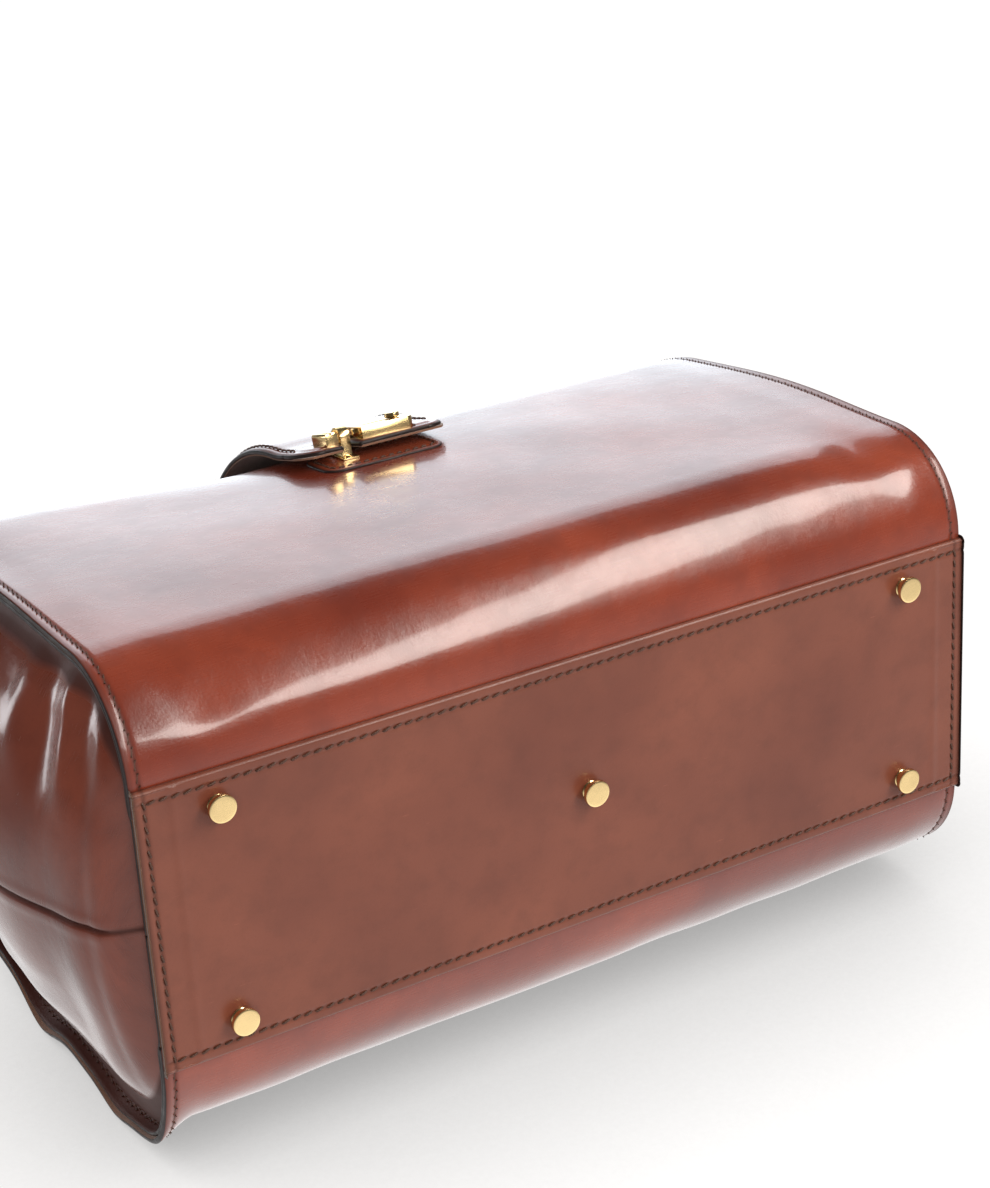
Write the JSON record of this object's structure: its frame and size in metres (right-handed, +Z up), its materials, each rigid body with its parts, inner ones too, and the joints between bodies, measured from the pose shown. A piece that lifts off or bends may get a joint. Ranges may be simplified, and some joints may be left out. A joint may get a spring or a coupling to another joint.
{
  "type": "doctor bag",
  "caption": "Leather doctor bag on brass studs, with hinged frame halves that open the mouth, a swinging top handle and a closing tab with a sliding bolt.",
  "frame": {"origin": "face of the middle base stud, on the surface the bag stands on", "axes": "+X along the bag's length, -Y towards the front wall with the lock, +Z up"},
  "size_m": [0.4664, 0.2206, 0.371],
  "materials": {
    "body_leather": "glossy burnished",
    "base_leather": "satin",
    "gusset_leather": "glossy burnished",
    "trim_leather": "glossy",
    "suede": "napped",
    "brass": "polished",
    "steel": "satin",
    "board": "pressed fibre",
    "rope": "twisted"
  },
  "bodies": {
    "bag_body": {"base_panel": "base_leather", "base_board": "board", "base_studs": "brass", "stud_washers": "brass", "front_panel": "body_leather", "rear_panel": "body_leather", "right_gusset": "gusset_leather", "left_gusset": "gusset_leather", "lining": "suede", "front_shoulder": "body_leather", "rear_shoulder": "body_leather", "right_gusset_top": "gusset_leather", "left_gusset_top": "gusset_leather", "pin_anchors": "gusset_leather", "hinge_pins": "steel", "hinge_washers": "steel", "lock_base_patch": "body_leather", "lock_staple": "brass", "staple_rivets": "brass"},
    "front_half": {"front_frame": "steel", "front_frame_cover": "trim_leather"},
    "rear_half": {"rear_frame": "steel", "rear_frame_cover": "trim_leather", "handle_brackets": "brass", "bracket_rivets": "brass", "tab_bar": "brass"},
    "handle": {"handle_rings": "brass", "handle_ends": "trim_leather", "handle_core": "rope", "handle_grip": "trim_leather"},
    "tab": {"closing_tab": "body_leather", "tab_backing": "suede", "lock_plate": "brass", "lock_keeper": "brass", "lock_rivets": "brass"},
    "bolt": {"lock_bolt": "brass", "bolt_knob": "brass"}
  },
  "joints": [
    {"name": "front_frame_hinge", "type": "hinge", "parent": "bag_body", "child": "front_half", "pos_m": [0, 0, 0.213], "axis": [1, 0, 0], "range_deg": [0, 50], "deforming": ["front_shoulder", "left_gusset_top", "right_gusset_top"]},
    {"name": "rear_frame_hinge", "type": "hinge", "parent": "bag_body", "child": "rear_half", "pos_m": [0, 0, 0.213], "axis": [-1, 0, 0], "range_deg": [0, 50], "deforming": ["rear_shoulder"]},
    {"name": "handle_swing", "type": "hinge", "parent": "rear_half", "child": "handle", "pos_m": [0, 0.0063, 0.2872], "axis": [1, 0, 0], "range_deg": [-75, 10]},
    {"name": "tab_lift", "type": "hinge", "parent": "rear_half", "child": "tab", "pos_m": [0, 0.0063, 0.2856], "axis": [-1, 0, 0], "range_deg": [0, 70]},
    {"name": "bolt_slide", "type": "slide", "parent": "tab", "child": "bolt", "axis": [-1, 0, 0], "range_m": [0, 0.014]}
  ],
  "couplings": [
    {"joint": "rear_frame_hinge", "follows": "front_frame_hinge", "ratio": 1}
  ]
}
